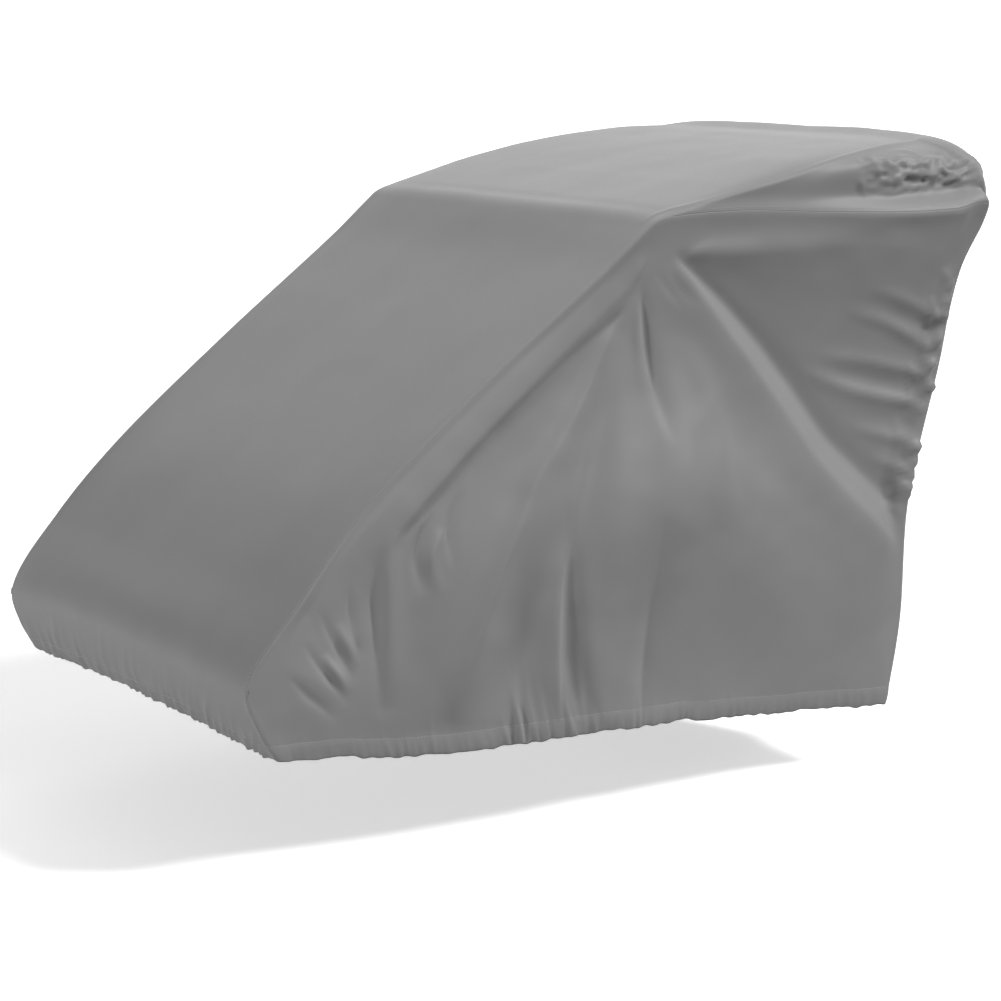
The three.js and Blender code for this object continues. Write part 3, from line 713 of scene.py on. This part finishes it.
def side_sheet(folds, rng):
    """Points, cloth coordinates and outward directions of a side, on the near side of the cover."""
    share, drop, top, above, hem_out = side_grid()
    base = side_surface(share, drop)
    front = np.linalg.norm(base - side_surface(np.zeros_like(share), drop), axis=-1)
    rear = np.linalg.norm(base - side_surface(np.ones_like(share), drop), axis=-1)
    nearest = np.argmin([top, front, rear], axis=0)
    distance = np.min([top, front, rear], axis=0)
    seam_places = [
        NOSE + (CREST_END - NOSE) * share,
        NOSE * (1 - drop),
        CREST_END + (SEAM_LENGTH - CREST_END) * drop,
    ]
    place = np.choose(nearest, seam_places)
    out = lean_to_seam(side_directions(share, drop), distance, at(place, seam_steps, SEAM_OUT))
    x, z = base[..., 0], base[..., 2]
    height = folds_height(x, z, folds) + hollow_height(x, z) * fade(rear, HOLLOW_FADE)
    for wave in SIDE_WAVES:
        height += long_waves(rng, x, z, wave)
    height += gather_height(rng, x, above, SIDE_GATHERS) + tuck_height(x, above)
    roll = roll_height(top, seam_places[0])
    height *= fade(np.minimum(top, front)) * fade(rear, REAR_FADE)
    relief = height + seam_relief(distance, place) + roll + hem_out
    points = base + out * relief[..., None]
    sway = long_waves(rng, x, np.zeros_like(x), RAGGED) * np.exp(-((above / RAGGED_HEIGHT) ** 2))
    points[..., 2] += sway * fade(distance)
    return drawn_in(points), np.stack([x, top], axis=-1), out


print("side grid", side_grid()[0].shape)

# %% Grid and sheet of the long panel
LONG_ROWS = [(130, 5.5), (900, 10.0), (1240, 8.0), (1560, 4.0), (2260, 11.0)]  # end and step of a stretch
LONG_COLUMNS = [(170, 3.6), (630, 6.4), (790, 8.0)]
LONG_SPAN = 800.0


def in_stretches(start, stretches):
    """Places from a start on, with their own step in each stretch."""
    places = [[start]]
    for end, step in stretches:
        places.append(between(places[-1][-1], end, step)[1:])
    return np.concatenate(places)


def long_grid():
    """Distances along the seam, shares across, and the hem's offsets row by row."""
    body = in_stretches(HEM_HEIGHT, LONG_ROWS)[1:-1]
    heights, outs = HEM_SECTION.T
    along = np.concatenate([heights[::-1], body, SEAM_LENGTH - heights])
    hem_out = np.concatenate([outs[::-1], np.zeros(len(body)), outs])
    columns = in_stretches(EDGE_STEPS[-1], LONG_COLUMNS)
    places = np.concatenate([EDGE_STEPS[:-1], columns, LONG_SPAN - EDGE_STEPS[-2::-1]])
    return along, places / LONG_SPAN, hem_out[:, None]


def long_sheet(folds, rng):
    """Points, cloth coordinates and outward directions of the long panel."""
    along, shares, hem_out = long_grid()
    base, widths = long_surface(along, shares)
    near, far = widths[:, None] * shares, widths[:, None] * (1 - shares)
    across = near - widths[:, None] / 2
    row = np.broadcast_to(along[:, None], across.shape)
    near_out = at(row, seam_steps, SEAM_OUT)
    out = lean_to_seam(long_directions(along, shares), near, near_out)
    out = lean_to_seam(out, far, near_out * np.array([1, -1, 1]))
    distance = np.minimum(near, far)
    height = folds_height(row, across, folds)
    for wave in LONG_WAVES:
        height += long_waves(rng, row, across, wave)
    height += gather_height(rng, base[..., 1], row, FRONT_GATHERS)
    height += gather_height(rng, base[..., 1], SEAM_LENGTH - row, BACK_GATHERS)
    relief = height * fade(distance) + seam_relief(distance, row) + roll_height(-distance, row) + hem_out
    return drawn_in(base + out * relief[..., None]), np.stack([across, row], axis=-1), out


print("long grid", [len(part) for part in long_grid()[:2]])

# %% Points of the three sheets
SEED = 7
rng = np.random.default_rng(SEED)
near_creases = scattered(rng, BACK_EDGE) + scattered(rng, BACK_CURLS)
near_points, near_uv, near_out = side_sheet(NEAR_FOLDS + near_creases, rng)
far_points, far_uv, far_out = side_sheet(SHARED_FOLDS + scattered(rng, FAR_EDGE), rng)
far_points[..., 1] *= -1
far_out[..., 1] *= -1
long_creases = scattered(rng, CREST_NEAR) + scattered(rng, CREST_FAR)
long_points, long_uv, long_out = long_sheet(LONG_FOLDS + long_creases, rng)
print("grids", near_points.shape, far_points.shape, long_points.shape)

# %% [markdown]
# ## From points to cloth
# A sheet becomes a mesh of quads with one UV map in metres of cloth, so that a weave can follow it.
# Solidify then gives it its thickness on the inner side, because the points lie on the outer face. Each
# sheet replaces its solid, rides on the one body there is, and says how large it was cut.

# %% Cloth pieces
CLOTH_THICKNESS = 1.2


def mesh_piece(name, points, faces):
    """A smooth-shaded piece in the shared frame, which rides on the one body."""
    mesh = bpy.data.meshes.new(name)
    mesh.from_pydata(((points - ROOF_POINT) * MM).tolist(), [], faces.tolist())
    mesh.polygons.foreach_set("use_smooth", np.ones(len(faces), bool))
    piece = bpy.data.objects.new(name, mesh)
    bpy.context.collection.objects.link(piece)
    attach(piece, "root")
    return piece


def cloth_piece(name, points, uv, turned):
    """A sheet of cloth from a grid of points; turned where the grid runs the other way round."""
    index = np.arange(points[..., 0].size).reshape(points.shape[:2])
    quads = np.stack([index[:-1, :-1], index[1:, :-1], index[1:, 1:], index[:-1, 1:]], axis=-1).reshape(-1, 4)
    quads = quads[:, ::-1] if turned else quads
    piece = mesh_piece(name, points.reshape(-1, 3), quads)
    layer = piece.data.uv_layers.new(name="cloth")
    layer.data.foreach_set("uv", (uv.reshape(-1, 2) * MM)[quads.ravel()].ravel())
    wall = piece.modifiers.new("cloth thickness", "SOLIDIFY")
    wall.thickness = CLOTH_THICKNESS * MM
    wall.offset = -1
    return piece


def cloth_area(points):
    """Square metres of one side of a sheet."""
    down, over = np.diff(points, axis=0)[:, :-1], np.diff(points, axis=1)[:-1]
    return float(np.linalg.norm(np.cross(down, over), axis=-1).sum() * MM * MM)


long_cloth = cloth_piece("front_roof_back_cloth", long_points, long_uv, False)
near_cloth = cloth_piece("near_side_cloth", near_points, near_uv, True)
far_cloth = cloth_piece("far_side_cloth", far_points, far_uv, False)
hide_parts("front_roof_back_panel")
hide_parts("near_side_panel")
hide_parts("far_side_panel")
for points, piece in ((long_points, long_cloth), (near_points, near_cloth), (far_points, far_cloth)):
    print(piece.name, f"{cloth_area(points):.3f} square metres,", len(piece.data.polygons), "quads")

# %% [markdown]
# ## Stitches
# Real stitches are what shows that an edge is sewn. There are about eighteen hundred, far too many to
# place as objects, so one small spindle is repeated along each line by array arithmetic and joined into one
# mesh for the seams and one for the hem.

# %% Rows of stitches
STITCH_PITCH, STITCH_LENGTH, STITCH_RADIUS = 4.5, 3.2, 0.5
SPINDLE = np.array([  # a tip, two rings of four and a tip: along the thread, across it, out of the cloth
    (-0.5, 0, -0.6), (-0.25, -1, 0.1), (-0.25, 0, 0.9), (-0.25, 1, 0.1), (-0.25, 0, -0.6),
    (0.25, -1, 0.1), (0.25, 0, 0.9), (0.25, 1, 0.1), (0.25, 0, -0.6), (0.5, 0, -0.6),
])
SPINDLE_SIZE = np.array([STITCH_LENGTH, STITCH_RADIUS, STITCH_RADIUS])
SPINDLE_FACES = np.array(
    [(0, 1 + (i + 1) % 4, 1 + i) for i in range(4)]
    + [(1 + i, 1 + (i + 1) % 4, 5 + (i + 1) % 4) for i in range(4)]
    + [(1 + i, 5 + (i + 1) % 4, 5 + i) for i in range(4)]
    + [(5 + i, 5 + (i + 1) % 4, 9) for i in range(4)]
)


def stitch_line(line, out):
    """Points of the stitches along one line on the cloth."""
    places = lengths_of(line)
    spots = np.arange(STITCH_PITCH, places[-1] - STITCH_PITCH, STITCH_PITCH)
    middle, up = at(spots, places, line), at(spots, places, out)
    way = unit(at(spots + ALONG_NUDGE, places, line) - at(spots - ALONG_NUDGE, places, line))
    across = unit(np.cross(up, way))
    frames = np.stack([way, across, np.cross(way, across)], axis=1)
    return middle[:, None] + (SPINDLE * SPINDLE_SIZE) @ frames


def stitch_piece(name, lines):
    """One piece of all stitches along these lines, and how many there are."""
    spindles = np.concatenate([stitch_line(*line) for line in lines])
    starts = len(SPINDLE) * np.arange(len(spindles))[:, None, None]
    faces = (SPINDLE_FACES + starts).reshape(-1, 3)
    return mesh_piece(name, spindles.reshape(-1, 3), faces), len(spindles)


WELT_COLUMN = 3  # the column on top of the welt
SIDE_HEM_ROW = near_points.shape[1] - len(HEM_SECTION)
FRONT_HEM_ROW, REAR_HEM_ROW = len(HEM_SECTION) - 1, long_points.shape[0] - len(HEM_SECTION)
sewn = slice(FRONT_HEM_ROW, REAR_HEM_ROW + 1)
seam_stitches, seam_count = stitch_piece("seam_stitches", [
    (long_points[sewn, WELT_COLUMN], long_out[sewn, WELT_COLUMN]),
    (long_points[sewn, -1 - WELT_COLUMN], long_out[sewn, -1 - WELT_COLUMN]),
])
hem_stitches, hem_count = stitch_piece("hem_stitches", [
    (near_points[:, SIDE_HEM_ROW], near_out[:, SIDE_HEM_ROW]),
    (far_points[:, SIDE_HEM_ROW], far_out[:, SIDE_HEM_ROW]),
    (long_points[FRONT_HEM_ROW], long_out[FRONT_HEM_ROW]),
    (long_points[REAR_HEM_ROW], long_out[REAR_HEM_ROW]),
])
print(seam_count, "stitches in the seams and", hem_count, "in the hem")

# %% [markdown]
# ## Finish of the cloth
# The cloth is polyester, plain-woven and coated on its inner side. It is matt, but the coating makes it
# stiff and gives its ridges a soft sheen. From a step away the weave is only a faint grain. It follows
# the panels' UV maps, as the threads of a real panel do, and a slow mottle on object coordinates keeps
# the grey from being one flat colour.

# %% Colours and nodes
def linear(hex_colour):
    """An sRGB hex colour as linear RGBA."""
    channels = [int(hex_colour[i:i + 2], 16) / 255 for i in (1, 3, 5)]
    return [*(c / 12.92 if c <= 0.04045 else ((c + 0.055) / 1.055) ** 2.4 for c in channels), 1]


def add_node(tree, kind, settings=(), **inputs):
    """Adds a node, sets its options, and sets or links its inputs by name (_ for a space) or as _number."""
    made = tree.nodes.new(kind)
    for name, value in dict(settings).items():
        setattr(made, name, value)
    for name, value in inputs.items():
        socket = made.inputs[int(name[1:]) if name[1:].isdigit() else name.replace("_", " ")]
        if isinstance(value, bpy.types.NodeSocket):
            tree.links.new(value, socket)
        else:
            socket.default_value = value
    return made


def new_material(name):
    material = bpy.data.materials.new(name)
    material.use_nodes = True
    tree = material.node_tree
    return material, tree, tree.nodes["Principled BSDF"]


print("half grey is", round(linear("#808080")[0], 3), "in linear light")

# %% Coated polyester, plain-woven
# A matt mid grey with a soft sheen on the ridges, a fine crossed grain and a slow mottle.
THREAD_PITCH = 2.6 * MM  # the real threads are 0.5 mm apart, drawn coarser so that the grain shows at all
MOTTLE_SIZE = 140 * MM
GRIT_SIZE = 5 * MM
WEAVE_DEPTH = 0.05 * MM
WAVE_PERIOD = math.pi / 10  # of a wave texture at a scale of 1
MIXED = 2  # a mix node's colour sockets go by number: _6 and _7 in, this one out

polyester, tree, shader = new_material("coated polyester, plain-woven")
coords = add_node(tree, "ShaderNodeTexCoord")
warp = add_node(tree, "ShaderNodeTexWave", {"bands_direction": "X"}, Vector=coords.outputs["UV"],
                Scale=WAVE_PERIOD / THREAD_PITCH, Distortion=0.6, Detail=1.0)
weft = add_node(tree, "ShaderNodeTexWave", {"bands_direction": "Y"}, Vector=coords.outputs["UV"],
                Scale=WAVE_PERIOD / THREAD_PITCH, Distortion=0.6, Detail=1.0)
weave = add_node(tree, "ShaderNodeMath", {"operation": "MULTIPLY"},
                 _0=warp.outputs["Fac"], _1=weft.outputs["Fac"])
mottle = add_node(tree, "ShaderNodeTexNoise", Vector=coords.outputs["Object"],
                  Scale=1 / MOTTLE_SIZE, Detail=3.0)
grit = add_node(tree, "ShaderNodeTexNoise", Vector=coords.outputs["Object"],
                Scale=1 / GRIT_SIZE, Detail=2.0)
tone = add_node(tree, "ShaderNodeMix", {"data_type": "RGBA"}, Factor=mottle.outputs["Fac"],
                _6=linear("#7d7d7e"), _7=linear("#848484"))
rough = add_node(tree, "ShaderNodeMapRange", Value=grit.outputs["Fac"], To_Min=0.52, To_Max=0.64)
bump = add_node(tree, "ShaderNodeBump", Height=weave.outputs["Value"], Distance=WEAVE_DEPTH, Strength=0.5)
tree.links.new(tone.outputs[MIXED], shader.inputs["Base Color"])
tree.links.new(rough.outputs["Result"], shader.inputs["Roughness"])
tree.links.new(bump.outputs["Normal"], shader.inputs["Normal"])
shader.inputs["IOR"].default_value = 1.45
shader.inputs["Specular IOR Level"].default_value = 0.35
shader.inputs["Sheen Weight"].default_value = 0.12
shader.inputs["Sheen Roughness"].default_value = 0.45
for piece in (long_cloth, near_cloth, far_cloth):
    piece.data.materials.append(polyester)
print(polyester.name, "with", len(tree.nodes), "nodes")

# %% Polyester thread, twisted
# Spun from the same fibre, a little lighter and glossier than the cloth, with the turns of its twist.
TWIST_PITCH = 1.2 * MM

thread, tree, shader = new_material("polyester thread, twisted")
coords = add_node(tree, "ShaderNodeTexCoord")
twist = add_node(tree, "ShaderNodeTexWave", {"bands_direction": "DIAGONAL"}, Vector=coords.outputs["Object"],
                 Scale=WAVE_PERIOD / TWIST_PITCH, Distortion=1.0)
tone = add_node(tree, "ShaderNodeMix", {"data_type": "RGBA"}, Factor=twist.outputs["Fac"],
                _6=linear("#8c8c8d"), _7=linear("#a0a0a0"))
tree.links.new(tone.outputs[MIXED], shader.inputs["Base Color"])
shader.inputs["Roughness"].default_value = 0.5
for piece in (seam_stitches, hem_stitches):
    piece.data.materials.append(thread)
print(thread.name, "with", len(tree.nodes), "nodes")

# %% [markdown]
# ## Studio
# A product picture like this has a plain pale floor that runs out to white. Here the floor is a plane of
# paper that also glows, so that it stays pale away from the lights and still takes the shadow. A lit wall
# stands behind the cover. A cylinder all round, seen by the camera only, closes the view from every
# other side.

# %% Floor and backdrop, in metres
GROUND = -ROOF_POINT[2] * MM
STUDIO_SIZE = 120
WALL_PLACE, WALL_TURN = (30, 45, 0), math.radians(-34)
SURROUND_RADIUS, SURROUND_HEIGHT = 58, 80
FLOOR_GLOW, BACKDROP_GLOW = 0.55, 1.0

bpy.ops.object.select_all(action="DESELECT")
bpy.ops.mesh.primitive_plane_add(size=STUDIO_SIZE, location=(0, 0, GROUND))
floor = bpy.context.object
floor.name = "studio_floor"
# Smooth paper is matt and mirrors nothing, so the shadow on it stays soft and plain.
paper, tree, shader = new_material("white paper, smooth")
shader.inputs["Base Color"].default_value = linear("#f4f4f4")
shader.inputs["Roughness"].default_value = 0.9
shader.inputs["Emission Color"].default_value = linear("#ffffff")
shader.inputs["Emission Strength"].default_value = FLOOR_GLOW
floor.data.materials.append(paper)
floor.visible_diffuse = False  # a white floor would light the folds from below and flatten them

bpy.ops.mesh.primitive_plane_add(
    size=STUDIO_SIZE, location=WALL_PLACE, rotation=(math.pi / 2, 0, WALL_TURN))
wall = bpy.context.object
wall.name = "studio_wall"
# A backdrop with its own lamps on it shows as plain white, without a shade or an edge.
glow, tree, shader = new_material("white backdrop, lit")
shader.inputs["Base Color"].default_value = linear("#ffffff")
shader.inputs["Emission Color"].default_value = linear("#ffffff")
shader.inputs["Emission Strength"].default_value = BACKDROP_GLOW
wall.data.materials.append(glow)
wall.visible_diffuse = False
wall.visible_shadow = False

bpy.ops.mesh.primitive_cylinder_add(
    radius=SURROUND_RADIUS, depth=SURROUND_HEIGHT, end_fill_type="NOTHING")
surround = bpy.context.object
surround.name = "studio_surround"
surround.data.materials.append(glow)
surround.visible_diffuse = False
surround.visible_glossy = False
surround.visible_shadow = False
print("studio", floor.name, wall.name, surround.name)

# %% [markdown]
# ## Lights and camera
# The key is a sun from above the rear corner, which makes the roof the brightest face. A level sun from
# the front draws the folds of the side, and a weak one from behind the far side keeps the back from going
# dark. Two area lights reach what the suns do not: a softbox over the brow and a low card before the
# nose. A sun that is some degrees across has the soft shadows of a large lamp, and lights every part of
# the cover alike. The camera looks slightly down on the front corner from nearly four metres, with a
# long lens.

# %% Lights
AMBIENT = 0.1
AIM = Vector((-0.286, 0.0, -0.506))


def toward(azimuth, elevation):
    """Direction from the cover to a light or camera: azimuth 0 is the near side, 90 the rear."""
    a, e = math.radians(azimuth), math.radians(elevation)
    return Vector((math.sin(a) * math.cos(e), -math.cos(a) * math.cos(e), math.sin(e)))


Light = namedtuple("Light", "name kind azimuth elevation distance strength settings")
LIGHTS = [  # strength in watts, and for a sun in watts per square metre
    Light("key from above the rear corner", "SUN", 52, 40, 5.0, 3.75, {"angle": math.radians(14)}),
    Light("light from behind the far side", "SUN", 150, 22, 5.0, 0.6, {"angle": math.radians(30)}),
    Light("softbox over the brow", "AREA", -35, 80, 1.4, 2.1, {"shape": "SQUARE", "size": 0.8}),
    Light("level fill from the front", "SUN", -80, 9, 5.0, 1.95, {"angle": math.radians(10)}),
    Light("card before the nose", "AREA", -84, -6, 1.75, 1.8,
          {"shape": "RECTANGLE", "size": 2.0, "size_y": 0.3}),
]
for light in LIGHTS:
    lamp = bpy.data.lights.new(light.name, light.kind)
    lamp.energy = light.strength
    for name, value in light.settings.items():
        setattr(lamp, name, value)
    holder = bpy.data.objects.new(light.name, lamp)
    bpy.context.collection.objects.link(holder)
    holder.visible_camera = False
    direction = toward(light.azimuth, light.elevation)
    holder.location = AIM + direction * light.distance
    holder.rotation_euler = direction.to_track_quat("Z", "Y").to_euler()

world = bpy.data.worlds.new("studio")
world.use_nodes = True
world.node_tree.nodes["Background"].inputs["Color"].default_value = linear("#ffffff")
world.node_tree.nodes["Background"].inputs["Strength"].default_value = AMBIENT
bpy.context.scene.world = world
bpy.context.scene.view_settings.view_transform = "Standard"
print(len(LIGHTS), "lights, and an even glow of", AMBIENT)

# %% Camera
VIEW_AZIMUTH, VIEW_ELEVATION, VIEW_DISTANCE = -34.37, 10.74, 3.864
LENS, SENSOR = 94.08, 36  # millimetres
FARTHEST = 200  # metres, beyond the backdrop
camera = bpy.data.objects.new("camera", bpy.data.cameras.new("camera"))
camera.data.lens = LENS
camera.data.sensor_width = SENSOR
camera.data.clip_end = FARTHEST
direction = toward(VIEW_AZIMUTH, VIEW_ELEVATION)
camera.location = AIM + direction * VIEW_DISTANCE
camera.rotation_euler = direction.to_track_quat("Z", "Y").to_euler()
bpy.context.collection.objects.link(camera)
bpy.context.scene.camera = camera
print("camera at", [round(x, 3) for x in camera.location])
